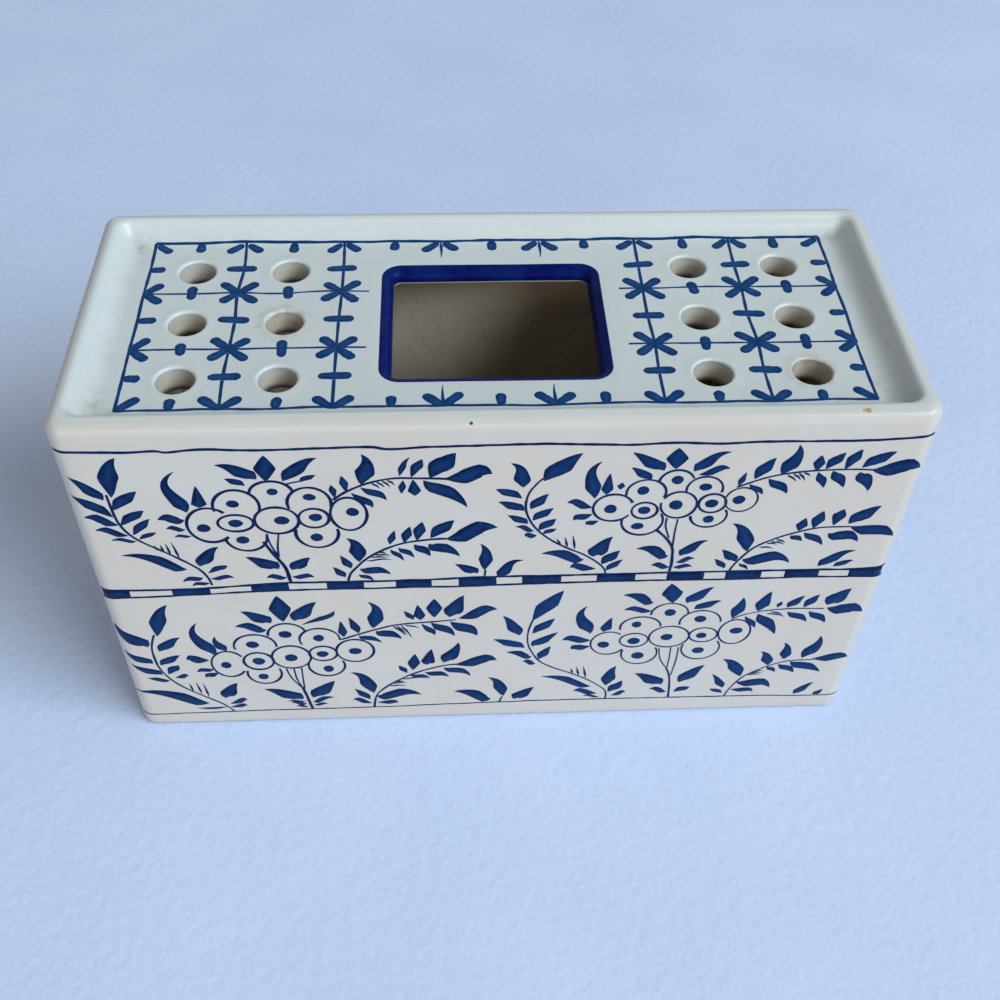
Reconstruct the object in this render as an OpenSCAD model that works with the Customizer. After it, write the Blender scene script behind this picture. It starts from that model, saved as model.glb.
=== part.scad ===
// Flower brick: a closed, slab-built earthenware box with a recessed, pierced top.
// Water fills the box, stems stand in the round holes and the square mouth takes the jug.
// Frame: +Z up, +X along the length, -Y the front; the origin is under the middle of the base.

/* [Box] */
// Outside length, end to end
length = 200; // [180:1:240]
// Outside depth, front to back
depth = 82; // [78:1:110]
// Height from the table to the crest of the rim
height = 116; // [90:1:150]
// Thickness of the four wall slabs
wall_t = 6.5; // [5:0.25:7.5]
// Thickness of the base slab
base_t = 6.5; // [4:0.25:10]
// Outside radius of the four upright corners, in plan
corner_r = 4; // [2.9:0.1:6]
// Radius of the worn edge round the underside
base_edge_r = 1.5; // [0.5:0.25:3]

/* [Rim] */
// Rounding on the outside of the rim's crest
rim_outer_r = 2.8; // [1.5:0.1:2.9]
// Height of the rim's crest above the top plate; the hollow between them grows with it
rim_rise = 4.8; // [3.2:0.4:5.6]
// Depth of the rebate in the top plate that the fillet is pressed into
fillet_seat = 1; // [0.5:0.25:2]

/* [Pierced top] */
// Thickness of the top plate
top_t = 6.5; // [4:0.25:8]
// Diameter of a stem hole
hole_d = 10; // [7:0.25:12]
// Rounding of a stem hole's upper edge
hole_lip_r = 0.8; // [0.5:0.1:2]
// Distance between the two hole columns at each end
hole_pitch_x = 23.6; // [18:0.2:26]
// Distance between the three hole rows
hole_pitch_y = 20.8; // [17:0.2:22]
// Distance from the foot of the rim to the outer column's centres
hole_edge = 15.4; // [12:0.2:18]
// Length of the mouth
mouth_l = 50.5; // [30:0.5:54]
// Width of the mouth
mouth_w = 40.5; // [25:0.5:46]
// Corner radius of the mouth
mouth_corner_r = 2.5; // [1.5:0.25:10]
// Rounding of the mouth's upper edge
mouth_lip_r = 2.6; // [1:0.1:3]
// Height of the mouth's edge, which is pared thin from below
mouth_edge = 3.4; // [3:0.1:4]
// Width of the pared ground round the mouth, under the plate
mouth_relief = 6; // [2:0.5:8]

/* [Seam coils] */
// Radius of the coil round the base seam
base_coil_r = 5; // [3:0.25:8]
// Radius of the coils in the four upright seams
corner_coil_r = 4; // [3:0.25:7]
// Radius of the coil that carries the top plate
ledge_coil_r = 4.5; // [3:0.25:7]

/* [Hidden] */
$fn = 96;
past = 1;
in_l = length - 2 * wall_t;
in_d = depth - 2 * wall_t;
top_z = height - rim_rise;
ledge_z = top_z - top_t;
// The hollow's arc and the crest's inner rounding touch on a 5-12-13 triangle
cove_r = 1.3 * rim_rise;
rim_inner_r = cove_r / 4;
cove_run = 1.5 * rim_rise;
cove_top = 0.8 * [cove_run, rim_rise];
// Where the hollow's mitred corner turns into a round one, measured from its foot
mitre = [5, 1] * cove_r / 13;
foot_in = rim_outer_r + cove_run;
foot_x = length / 2 - foot_in;
foot_y = depth / 2 - foot_in;
hole_r = hole_d / 2;
hole_out_x = foot_x - hole_edge;
hole_rows = min(hole_pitch_y, foot_y - hole_r - hole_lip_r - past);

// Carries a profile round a rectangle with turned corners. The profile's x runs outward from the
// corner axis, which stands at [ax, ay] in each quarter, and the middle is filled from z0 to z1.
module round_rectangle(ax, ay, z0, z1) {
    translate([-ax, -ay, z0]) cube([2 * ax, 2 * ay, z1 - z0]);
    for (turn = [0, 180]) rotate(turn) {
        translate([ax, ay, 0]) rotate([90, 0, 0]) linear_extrude(2 * ay) children();
        translate([-ax, ay, 0]) rotate([90, 0, 90]) linear_extrude(2 * ax) children();
        translate([ax, ay, 0]) rotate_extrude(angle = 90) children();
        translate([-ax, ay, 0]) rotate(90) rotate_extrude(angle = 90) children();
    }
}

// What is left of a square corner outside a quarter circle, to cut a rounded edge with
module outside_corner(r) {
    difference() {
        square(r + past);
        circle(r);
    }
}

// The whole outside of the box, with its turned corners, rounded crest and worn foot
module outer_form() {
    round_rectangle(length / 2 - corner_r, depth / 2 - corner_r, 0, height) difference() {
        square([corner_r, height]);
        translate([corner_r - rim_outer_r, height - rim_outer_r]) outside_corner(rim_outer_r);
        translate([corner_r - base_edge_r, base_edge_r]) mirror([0, 1]) outside_corner(base_edge_r);
    }
}

// The hollow's rising arc, from its foot at the origin, between the heights z0 and z1
module cove_arc(z0, z1) {
    intersection() {
        translate([0, cove_r]) circle(cove_r);
        translate([0, z0]) square([cove_r, z1 - z0]);
    }
}

// The lowest part of the open space inside the rim, as wide as the foot and swept to length l
module foot_trough(half, l) {
    rotate([90, 0, 0]) linear_extrude(l, center = true) {
        translate([-half, 0]) square([2 * half, mitre.y]);
        for (side = [0, 1]) mirror([side, 0]) translate([half, 0]) cove_arc(0, mitre.y);
    }
}

// The open space inside the rim: a flat foot, a hollow and a rounded lip that run into each other.
// The corners start as a mitre at the foot and open into a round corner at the crest.
module rim_hollow() {
    translate([0, 0, top_z]) {
        intersection() {
            foot_trough(foot_x, depth);
            rotate(90) foot_trough(foot_y, length);
        }
        round_rectangle(foot_x + mitre.x, foot_y + mitre.x, mitre.y, rim_rise + past) {
            intersection() {
                translate([-mitre.x, 0]) union() {
                    cove_arc(mitre.y, cove_top.y);
                    translate([0, cove_top.y]) difference() {
                        square([cove_run, rim_rise - cove_top.y + past]);
                        translate([cove_run, rim_rise - rim_inner_r - cove_top.y]) circle(rim_inner_r);
                    }
                }
                square([cove_run, rim_rise + past]);
            }
        }
    }
}

// One wall between two corners, mitred at both ends; a and b are the corners' signs
module wall(a, b) {
    outer = [length / 2 + past, depth / 2 + past];
    inner = [in_l / 2, in_d / 2];
    difference() {
        intersection() {
            outer_form();
            translate([0, 0, base_t]) linear_extrude(height) polygon([
                [a.x * outer.x, a.y * outer.y], [b.x * outer.x, b.y * outer.y],
                [b.x * inner.x, b.y * inner.y], [a.x * inner.x, a.y * inner.y]]);
        }
        rim_hollow();
    }
}

// A quarter-round coil pressed along the inside of the walls; it sits at z = 0 and rises by r
module wall_coil(r) {
    for (turn = [0, 180]) rotate(turn) {
        translate([-in_l / 2, -in_d / 2, 0]) rotate([90, 0, 90]) linear_extrude(in_l) quarter_disc(r);
        translate([-in_l / 2, in_d / 2, 0]) rotate([90, 0, 0]) linear_extrude(in_d) quarter_disc(r);
    }
}

module quarter_disc(r) {
    intersection() {
        circle(r);
        square(r);
    }
}

// Upright coil in one inner corner, fitted over the base coil and under the ledge coil
module corner_coil(sx, sy) {
    color("Wheat") difference() {
        translate([sx * in_l / 2, sy * in_d / 2, base_t]) mirror([sx > 0 ? 1 : 0, 0, 0])
            mirror([0, sy > 0 ? 1 : 0, 0]) linear_extrude(ledge_z - base_t) quarter_disc(corner_coil_r);
        base_coil();
        ledge_coil();
    }
}

// Flat slab under everything; its underside is the standing face
module base_slab() {
    color("Linen") intersection() {
        outer_form();
        translate([-length, -depth, 0]) cube([2 * length, 2 * depth, base_t]);
    }
}

module front_wall() {
    color("Ivory") wall([-1, -1], [1, -1]);
}

module back_wall() {
    color("Ivory") wall([1, 1], [-1, 1]);
}

module left_wall() {
    color("WhiteSmoke") wall([-1, 1], [-1, -1]);
}

module right_wall() {
    color("WhiteSmoke") wall([1, -1], [1, 1]);
}

// Coil that seals the seam between the walls and the base
module base_coil() {
    color("Wheat") translate([0, 0, base_t]) wall_coil(base_coil_r);
}

module corner_coil_fl() {
    corner_coil(-1, -1);
}

module corner_coil_fr() {
    corner_coil(1, -1);
}

module corner_coil_bl() {
    corner_coil(-1, 1);
}

module corner_coil_br() {
    corner_coil(1, 1);
}

// Coil on the walls that the top plate is let down onto
module ledge_coil() {
    color("Wheat") translate([0, 0, ledge_z]) mirror([0, 0, 1]) wall_coil(ledge_coil_r);
}

// Cutter for one stem hole, turned to the plate's upper face, with the rounded lip
module stem_hole() {
    rotate_extrude() union() {
        translate([0, -top_t - past]) square([hole_r, top_t + 2 * past]);
        translate([0, -hole_lip_r]) difference() {
            square([hole_r + hole_lip_r, hole_lip_r + past]);
            translate([hole_r + hole_lip_r, 0]) circle(hole_lip_r);
        }
    }
}

// Cutter for the mouth, with its rolled lip and the slope that is pared off under its edge
module mouth() {
    pared = mouth_corner_r + mouth_relief;
    round_rectangle(mouth_l / 2 - mouth_corner_r, mouth_w / 2 - mouth_corner_r,
                    -top_t - past, past) {
        union() {
            translate([0, -top_t - past]) square([mouth_corner_r, top_t + 2 * past]);
            polygon([[0, -mouth_edge], [mouth_corner_r, -mouth_edge], [pared, -top_t],
                     [pared, -top_t - past], [0, -top_t - past]]);
            translate([0, -mouth_lip_r]) difference() {
                square([mouth_corner_r + mouth_lip_r, mouth_lip_r + past]);
                translate([mouth_corner_r + mouth_lip_r, 0]) circle(mouth_lip_r);
            }
        }
    }
}

// The ground that the fillet covers, between the walls and the foot of the hollow
module fillet_ring(z0, z1) {
    difference() {
        translate([-in_l / 2, -in_d / 2, z0]) cube([in_l, in_d, z1 - z0]);
        translate([-foot_x, -foot_y, z0 - past]) cube([2 * foot_x, 2 * foot_y, z1 - z0 + 2 * past]);
    }
}

// Plate let in below the rim: two groups of six stem holes and the mouth between them
module pierced_top() {
    color("Ivory") difference() {
        translate([-in_l / 2, -in_d / 2, ledge_z]) cube([in_l, in_d, top_t]);
        fillet_ring(top_z - fillet_seat, top_z + past);
        translate([0, 0, top_z]) mouth();
        for (side = [-1, 1], column = [0, 1], row = [-1, 0, 1])
            translate([side * (hole_out_x - column * hole_pitch_x), row * hole_rows, top_z]) stem_hole();
    }
}

// Coil worked into the corner above the plate, which closes the seam and makes the hollow
module rim_fillet() {
    color("Linen") difference() {
        fillet_ring(top_z - fillet_seat, height - rim_inner_r);
        rim_hollow();
    }
}

base_slab();
front_wall();
back_wall();
left_wall();
right_wall();
base_coil();
corner_coil_fl();
corner_coil_fr();
corner_coil_bl();
corner_coil_br();
ledge_coil();
pierced_top();
rim_fillet();
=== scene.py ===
import math
import bpy
import bmesh
from mathutils import Matrix, Vector, noise
from mathutils.geometry import delaunay_2d_cdt


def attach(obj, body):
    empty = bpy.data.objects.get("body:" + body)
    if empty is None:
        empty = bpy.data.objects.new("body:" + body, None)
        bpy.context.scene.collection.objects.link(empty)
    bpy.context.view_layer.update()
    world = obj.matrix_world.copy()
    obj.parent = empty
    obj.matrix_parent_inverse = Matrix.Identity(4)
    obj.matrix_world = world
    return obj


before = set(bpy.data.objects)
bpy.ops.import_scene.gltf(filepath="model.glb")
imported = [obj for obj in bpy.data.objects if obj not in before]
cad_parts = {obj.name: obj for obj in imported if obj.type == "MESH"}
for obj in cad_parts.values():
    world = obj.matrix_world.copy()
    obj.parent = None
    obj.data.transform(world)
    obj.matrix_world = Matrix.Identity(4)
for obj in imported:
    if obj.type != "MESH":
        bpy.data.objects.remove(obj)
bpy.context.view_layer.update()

# Camera: a normal lens held in front of the brick and above it, a little left of the middle,
# so that the front and the pierced top both show. Places are in millimetres here and below.
MM = 0.001
camera_data = bpy.data.cameras.new("camera")
camera_data.sensor_width = 36
camera_data.lens = 43.947
camera = bpy.data.objects.new("camera", camera_data)
camera.location = Vector((-11.488, -237.130, 299.436)) * MM
camera.rotation_euler = [math.radians(angle) for angle in (43.2379, -0.9533, -2.4039)]
bpy.context.scene.collection.objects.link(camera)
bpy.context.scene.camera = camera
bpy.context.scene.view_settings.view_transform = "Standard"

# Table and light: a sheet of pale blue paper under the brick, a broad cool window to the right, a
# low warm board in front, and an even room around them. The lights' places are in metres.
PAPER_PALE = (0.605, 0.71, 0.955, 1)
PAPER_DEEP = (0.565, 0.675, 0.925, 1)
PAPER_HALF = 1300
AIM = Vector((0, 0, 0.06))


def new_finish(name, roughness, specular=0.5):
    finish = bpy.data.materials.new(name)
    finish.use_nodes = True
    shader = finish.node_tree.nodes["Principled BSDF"]
    shader.inputs["Roughness"].default_value = roughness
    shader.inputs["Specular IOR Level"].default_value = specular
    return finish, finish.node_tree, shader


def add_node(tree, kind, links=(), **values):
    node = tree.nodes.new(kind)
    for name, value in values.items():
        node.inputs[name.replace("_", " ")].default_value = value
    for name, source in links:
        tree.links.new(source, node.inputs[name])
    return node


def add_cloud(tree, scale, detail, roughness=0.5):
    place = add_node(tree, "ShaderNodeTexCoord").outputs["Object"]
    cloud = add_node(tree, "ShaderNodeTexNoise", [("Vector", place)],
                     Scale=scale, Detail=detail, Roughness=roughness)
    return cloud.outputs["Fac"]


def add_ramp(tree, source, *stops):
    ramp = add_node(tree, "ShaderNodeValToRGB", [("Fac", source)])
    while len(ramp.color_ramp.elements) < len(stops):
        ramp.color_ramp.elements.new(0.5)
    for element, (position, colour) in zip(ramp.color_ramp.elements, stops):
        element.position = position
        element.color = colour
    return ramp.outputs["Color"]


def add_math(tree, operation, first, second):
    node = add_node(tree, "ShaderNodeMath", [(0, first), (1, second)])
    node.operation = operation
    return node.outputs["Value"]


def add_bump(tree, shader, height, strength, distance):
    bump = add_node(tree, "ShaderNodeBump", [("Height", height)],
                    Strength=strength, Distance=distance)
    tree.links.new(bump.outputs["Normal"], shader.inputs["Normal"])


def new_piece(name, points, faces, finish):
    mesh = bpy.data.meshes.new(name)
    mesh.from_pydata([Vector(point) * MM for point in points], [], faces)
    mesh.materials.append(finish)
    piece = bpy.data.objects.new(name, mesh)
    bpy.context.scene.collection.objects.link(piece)
    return piece


paper, tree, shader = new_finish("pale_blue_paper", roughness=0.85)
mottle = add_cloud(tree, scale=16, detail=4)
colour = add_ramp(tree, mottle, (0.35, PAPER_DEEP), (0.65, PAPER_PALE))
tree.links.new(colour, shader.inputs["Base Color"])
add_bump(tree, shader, add_cloud(tree, scale=300, detail=4), strength=0.5, distance=0.0006)
corners = [(x * PAPER_HALF, y * PAPER_HALF, 0) for x, y in ((-1, -1), (1, -1), (1, 1), (-1, 1))]
table = new_piece("paper_sheet", corners, [range(4)], paper)


def add_window(name, place, width, height, energy, colour):
    light = bpy.data.lights.new(name, "AREA")
    light.shape = "RECTANGLE"
    light.size = width
    light.size_y = height
    light.energy = energy
    light.color = colour
    window = bpy.data.objects.new(name, light)
    window.location = place
    window.rotation_euler = (AIM - window.location).to_track_quat("-Z", "Y").to_euler()
    bpy.context.scene.collection.objects.link(window)


add_window("cool_window", place=(2.58, -1.81, 2.52), width=3.2, height=1.8,
           energy=168, colour=(0.84, 0.95, 1.0))
add_window("warm_board", place=(-0.60, -2.50, 0.62), width=2.0, height=1.0,
           energy=13.5, colour=(1.0, 0.90, 0.75))
room = bpy.data.worlds.new("room")
room.use_nodes = True
bpy.context.scene.world = room
tree = room.node_tree
tree.nodes["Background"].inputs["Color"].default_value = (1.0, 0.97, 0.91, 1)
tree.nodes["Background"].inputs["Strength"].default_value = 0.27
backdrop = add_node(tree, "ShaderNodeBackground", Color=PAPER_PALE, Strength=0.8)
rays = add_node(tree, "ShaderNodeLightPath").outputs
seen = add_math(tree, "MAXIMUM", rays["Is Camera Ray"], rays["Is Glossy Ray"])
seen = add_math(tree, "MAXIMUM", seen, rays["Is Transmission Ray"])
blend = add_node(tree, "ShaderNodeMixShader", [
    (0, seen), (1, tree.nodes["Background"].outputs["Background"]),
    (2, backdrop.outputs["Background"])])
tree.links.new(blend.outputs["Shader"], tree.nodes["World Output"].inputs["Surface"])

# Clay body: base, four walls, seam coils, pierced top and rim fillet, all of one buff earthenware,
# rolled out, cut, luted together with slip and fired. It shows bare underneath and inside.
CLAY_PALE = (0.53, 0.47, 0.39, 1)
CLAY_DEEP = (0.43, 0.36, 0.27, 1)
CLAY_SAND = (0.32, 0.25, 0.17, 1)


def add_veil(tree, cloud, low, high, least=0, most=1):
    """A factor that clears and thickens in clouds, between two levels."""
    return add_ramp(tree, cloud, (low, (least, least, least, 1)), (high, (most, most, most, 1)))


def add_mix(tree, factor, first, second):
    mix = tree.nodes.new("ShaderNodeMix")
    mix.data_type = "RGBA"
    tree.links.new(factor, mix.inputs[0])
    for socket, source in ((mix.inputs[6], first), (mix.inputs[7], second)):
        if isinstance(source, tuple):
            socket.default_value = source
        else:
            tree.links.new(source, socket)
    return mix.outputs[2]


clay, tree, shader = new_finish("bare_buff_clay", roughness=0.55)
mottle = add_cloud(tree, scale=30, detail=6, roughness=0.6)
colour = add_ramp(tree, mottle, (0.3, CLAY_DEEP), (0.7, CLAY_PALE))
sand = add_veil(tree, add_cloud(tree, scale=900, detail=2), low=0.66, high=0.72)
tree.links.new(add_mix(tree, sand, colour, CLAY_SAND), shader.inputs["Base Color"])
add_bump(tree, shader, add_cloud(tree, scale=260, detail=6), strength=0.5, distance=0.0006)
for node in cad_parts.values():
    node.data.materials.clear()
    node.data.materials.append(clay)

# Glaze coat: one layer of cool white tin glaze over the whole outside, fired on after the seams
# were closed. It follows the foot, the walls, the crest and the hollow, the top plate, and runs
# down through the mouth and the stem holes; only the standing face stays bare.
COAT = 0.3
COAT_DEPTH = 0.42
HALF_X = 100
HALF_Y = 41
HEIGHT = 116
CORNER_R = 4
FOOT_R = 1.5
CREST_R = 2.8
LIP_R = 1.56
HOLLOW_R = 6.24
HOLLOW_CORNER = 7.6
HOLLOW_FOOT_CORNER = 1.2
DECK_Z = 111.2
DECK_UNDER = 104.7
HOLE_R = 5
HOLE_LIP_R = 0.35
HOLE_STEPS = 30
HOLE_APRON = (2.6, 1.7, 0.8)
COLLAR = 0.14
SWELLS = ((0.17, 0.021), (0.07, 0.07))
HOLES = [(x, y) for x in (-74.6, -51, 51, 74.6) for y in (-20.8, 0, 20.8)]
MOUTH_HALF = (25.25, 20.25)
MOUTH_CORNER_R = 2.5
MOUTH_LIP_R = 2.6
MOUTH_EDGE = 3.4
BORE_STOP = 0.1
GRID = 3.1
GRID_GAP = 0.9
TINY = 1e-6
WALL_STEPS = 39
CORNER_STEPS = 9
LONG_STEPS = 60
SHORT_STEPS = 24
# Glaze tones, painted light: the top is painted cooler for the cool light falling on it, the walls warmer
# for the warm light on the front, and the crest's rounding darker as painted shade.
GLAZE_TOP_COOL_LIT = (0.59, 0.645, 0.655, 1)
GLAZE_WALL_WARM_LIT = (0.61, 0.565, 0.515, 1)
GLAZE_CREST_SHADED = (0.535, 0.525, 0.495, 1)
GLAZE_PATCH = (0.60, 0.635, 0.65, 1)
# Dust and painted shade in the rim's hollow: a brownish grey, even along the hollow and strongest towards
# its corners; partly dust, partly painted shade where the hollow and its corners lie in shade.
DUST_AND_SHADE = (0.36, 0.34, 0.29, 1)
DUST_AND_SHADE_WIDTH = 4.5
DUST_AND_SHADE_FADE = 9
DUST_AND_SHADE_OUT = 1
DUST_AND_SHADE_EVEN = 0.12
DUST_AND_SHADE_CORNER = 0.8
BISCUIT = (0.54, 0.475, 0.385, 1)
BISCUIT_TOP = DECK_Z - 0.6
BISCUIT_FADE = 1.8
BISCUIT_MOST = 0.85
RUST = (0.40, 0.27, 0.13, 1)
IRON = (0.07, 0.04, 0.02, 1)
STAINS = [((-51, 0, DECK_Z), 8, 0.55, RUST), ((74.6, -20.8, DECK_Z), 7.6, 0.55, RUST),
          ((-74.6, 0, DECK_Z - 3), 5.8, 0.6, RUST), ((-74.6, -20.8, DECK_Z - 3), 5.6, 0.4, RUST),
          ((82.3, -39.6, HEIGHT), 0.75, 4, RUST), ((81.3, -39.5, HEIGHT), 0.4, 3, RUST),
          ((-6.5, -40.6, HEIGHT - 1), 0.45, 4, IRON)]


def swell(point):
    """How far the hand-laid surface stands above its nominal place, in millimetres."""
    rise = sum(height * noise.noise(point * pace) for height, pace in SWELLS)
    if point.z > DECK_Z - HOLE_LIP_R:
        for hole_x, hole_y in HOLES:
            past_lip = math.hypot(point.x - hole_x, point.y - hole_y) - HOLE_R - HOLE_LIP_R
            rise += COLLAR * math.exp(-past_lip ** 2)
    return rise


def plan_ring(half_x, half_y, radius, z):
    """A rounded rectangle, from its front right corner anticlockwise."""
    ring = []
    signs = ((1, -1), (1, 1), (-1, 1), (-1, -1))
    centres = [Vector((x * (half_x - radius), y * (half_y - radius), z)) for x, y in signs]
    for quarter, centre in enumerate(centres):
        for step in range(CORNER_STEPS + 1):
            angle = math.radians(quarter * 90 - 90 + 90 * step / CORNER_STEPS)
            ring.append(centre + radius * Vector((math.cos(angle), math.sin(angle), 0)))
        steps = LONG_STEPS if quarter % 2 else SHORT_STEPS
        stride = (centres[(quarter + 1) % 4] - centre) / steps
        for step in range(1, steps):
            ring.append(ring[-1] + stride)
    return ring


def faces_between(lower, upper):
    return list(zip(lower, [*lower[1:], lower[0]], [*upper[1:], upper[0]], upper))


def join_rings(points, faces, rings):
    """Adds rings of points with faces between them. Returns the first and last ring's numbers."""
    numbers = []
    for ring in rings:
        numbers.append(range(len(points), len(points) + len(ring)))
        points.extend(ring)
    for lower, upper in zip(numbers, numbers[1:]):
        faces.extend(faces_between(lower, upper))
    return numbers[0], numbers[-1]


def arc_place(inset, z, reach, rise, angle):
    turn = math.radians(angle)
    return inset + reach * math.cos(turn), z + rise * math.sin(turn)


def rim_rings():
    """Rings of the outside from the foot to the top plate, and how far in the plate begins."""
    foot_r = FOOT_R + COAT
    places = [arc_place(FOOT_R, FOOT_R, -foot_r, foot_r, angle) for angle in (-40, -20)]
    for step in range(WALL_STEPS + 1):
        places.append((-COAT, FOOT_R + (HEIGHT - CREST_R - FOOT_R) * step / WALL_STEPS))
    crest_r = CREST_R + COAT
    for angle in (15, 30, 45, 60, 75, 90):
        places.append(arc_place(CREST_R, HEIGHT - CREST_R, -crest_r, crest_r, angle))
    rings = []
    for inset, z in places:
        rings.append(plan_ring(HALF_X - inset, HALF_Y - inset, CORNER_R - inset, z))
    span = HOLLOW_R + LIP_R
    run = math.sqrt(span ** 2 - (span - HEIGHT + DECK_Z) ** 2)
    meet = math.degrees(math.asin((span - HEIGHT + DECK_Z) / span))
    foot = CREST_R + run
    places = []
    lip_r = LIP_R + COAT
    for share in (0.97, 0.75, 0.5, 0.25, 0):
        angle = meet + (90 - meet) * share
        places.append(arc_place(CREST_R, HEIGHT - LIP_R, lip_r, lip_r, angle))
    hollow_r = HOLLOW_R - COAT
    for share in (0.14, 0.28, 0.42, 0.56, 0.7, 0.85, 1):
        angle = meet + (90 - meet) * share
        places.append(arc_place(foot, DECK_Z + HOLLOW_R, -hollow_r, -hollow_r, angle))
    for inset, z in places:
        corner = max(HOLLOW_CORNER - inset, HOLLOW_FOOT_CORNER)
        rings.append(plan_ring(HALF_X - inset, HALF_Y - inset, corner, z))
    return rings, foot


def lip_place(lip_r, angle):
    turn = math.radians(angle)
    return lip_r - (lip_r + COAT) * math.sin(turn), DECK_Z - lip_r + (lip_r + COAT) * math.cos(turn)


def lip_places(lip_r, foot):
    """Outward reach and height of a rounded edge and the bore below it, from the top plate down."""
    places = [lip_place(lip_r, angle) for angle in (0, 12, 26, 40, 54, 68, 80, 90)]
    for share in (0.35, 0.7, 1):
        places.append((-COAT, DECK_Z - lip_r + (foot + BORE_STOP - DECK_Z + lip_r) * share))
    return places


def hole_rings(x, y):
    rings = []
    apron = [(HOLE_LIP_R + apart, DECK_Z + COAT) for apart in HOLE_APRON]
    for reach, z in apron + lip_places(HOLE_LIP_R, DECK_UNDER):
        ring = []
        for step in range(HOLE_STEPS):
            angle = math.tau * step / HOLE_STEPS
            spoke = Vector((math.cos(angle), math.sin(angle), 0))
            ring.append(Vector((x, y, z)) + (HOLE_R + reach) * spoke)
        rings.append(ring)
    return rings


def mouth_ring(reach, z):
    return plan_ring(MOUTH_HALF[0] + reach, MOUTH_HALF[1] + reach, MOUTH_CORNER_R + reach, z)


def open_deck(x, y, gap):
    """True on the flat of the top plate, at least that far from its edge, the holes and the mouth."""
    if abs(x) > HALF_X - rim_foot - gap or abs(y) > HALF_Y - rim_foot - gap:
        return False
    if abs(x) < MOUTH_HALF[0] + MOUTH_LIP_R + gap and abs(y) < MOUTH_HALF[1] + MOUTH_LIP_R + gap:
        return False
    clear = HOLE_R + HOLE_LIP_R + HOLE_APRON[0] + gap
    return all(math.hypot(x - hole_x, y - hole_y) >= clear for hole_x, hole_y in HOLES)


points = []
faces = []
rim, rim_foot = rim_rings()
deck_edges = [join_rings(points, faces, rim)[1]]
mouth_places = lip_places(MOUTH_LIP_R, DECK_Z - MOUTH_EDGE)
deck_edges.append(join_rings(points, faces, [mouth_ring(*place) for place in mouth_places])[0])
for hole in HOLES:
    deck_edges.append(join_rings(points, faces, hole_rings(*hole))[0])
deck_numbers = [number for edge in deck_edges for number in edge]
deck_flat = [points[number].to_2d() for number in deck_numbers]
fixed = []
for edge in deck_edges:
    first = deck_numbers.index(edge[0])
    for step in range(len(edge)):
        fixed.append((first + step, first + (step + 1) % len(edge)))
columns = int(HALF_X / GRID)
rows = int(HALF_Y / GRID)
for column in range(-columns, columns + 1):
    for row in range(-rows, rows + 1):
        spot = Vector(((column + 0.5 * (row % 2)) * GRID, row * GRID))
        if open_deck(spot.x, spot.y, GRID_GAP):
            deck_numbers.append(len(points))
            points.append(Vector((spot.x, spot.y, DECK_Z + COAT)))
            deck_flat.append(spot)
_, _, flat_faces, origins, _, _ = delaunay_2d_cdt(deck_flat, fixed, [], 0, TINY)
for face in flat_faces:
    corners = [deck_numbers[origins[corner][0]] for corner in face]
    across_opening = any(all(corner in edge for corner in corners) for edge in deck_edges[1:])
    first, second, third = [points[corner] for corner in corners]
    turn = (second - first).cross(third - first).z
    if abs(turn) > TINY and not across_opening:
        faces.append(corners if turn > 0 else corners[::-1])


def add_mark(tree, name):
    mark = add_node(tree, "ShaderNodeAttribute")
    mark.attribute_name = name
    return mark.outputs["Fac"]


def add_stain(tree, centre, reach, strength):
    """A factor that is strongest at a place on the brick and fades out at its reach."""
    place = add_node(tree, "ShaderNodeTexCoord").outputs["Object"]
    away = add_node(tree, "ShaderNodeVectorMath", [(0, place)])
    away.operation = "DISTANCE"
    away.inputs[1].default_value = Vector(centre) * MM
    fade = add_node(tree, "ShaderNodeMapRange", [("Value", away.outputs["Value"])],
                    To_Min=strength, To_Max=0, From_Min=0.5 * reach * MM, From_Max=reach * MM)
    return fade.outputs["Result"]


glaze, tree, shader = new_finish("white_tin_glaze", roughness=0.26, specular=0.32)
patch = add_cloud(tree, scale=26, detail=3, roughness=0.55)
patch = add_veil(tree, patch, low=0.4, high=0.7, most=0.35)
# Painted light and shade: from the warmer wall tone, over the darker crest tone, to the cooler top tone.
colour = add_ramp(tree, add_mark(tree, "painted_light_share"), (0, GLAZE_WALL_WARM_LIT), (0.1, GLAZE_CREST_SHADED),
                  (0.5, GLAZE_CREST_SHADED), (1, GLAZE_TOP_COOL_LIT))
colour = add_mix(tree, patch, colour, GLAZE_PATCH)
# Dust and painted shade in the rim's hollow, broken up by clouds.
dust_and_shade_cloud = add_cloud(tree, scale=130, detail=8, roughness=0.7)
dust_and_shade_cloud = add_veil(tree, dust_and_shade_cloud, low=0.45, high=0.64)
dust_and_shade = add_math(tree, "MULTIPLY", add_mark(tree, "hollow"), dust_and_shade_cloud)
colour = add_mix(tree, dust_and_shade, colour, DUST_AND_SHADE)
colour = add_mix(tree, add_mark(tree, "bore"), colour, BISCUIT)
blotch = add_veil(tree, add_cloud(tree, scale=420, detail=4), low=0.4, high=0.6, least=0.15)
for centre, reach, strength, tint in STAINS:
    stain = add_math(tree, "MULTIPLY", add_stain(tree, centre, reach, strength), blotch)
    colour = add_mix(tree, stain, colour, tint)
tree.links.new(colour, shader.inputs["Base Color"])
add_bump(tree, shader, add_cloud(tree, scale=75, detail=3), strength=0.12, distance=0.0012)
coat = new_piece("glaze_coat", points, faces, glaze)
normals = [vertex.normal.copy() for vertex in coat.data.vertices]
hollow = coat.data.attributes.new("hollow", "FLOAT", "POINT")
bore = coat.data.attributes.new("bore", "FLOAT", "POINT")
painted_light_share = coat.data.attributes.new("painted_light_share", "FLOAT", "POINT")
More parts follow.
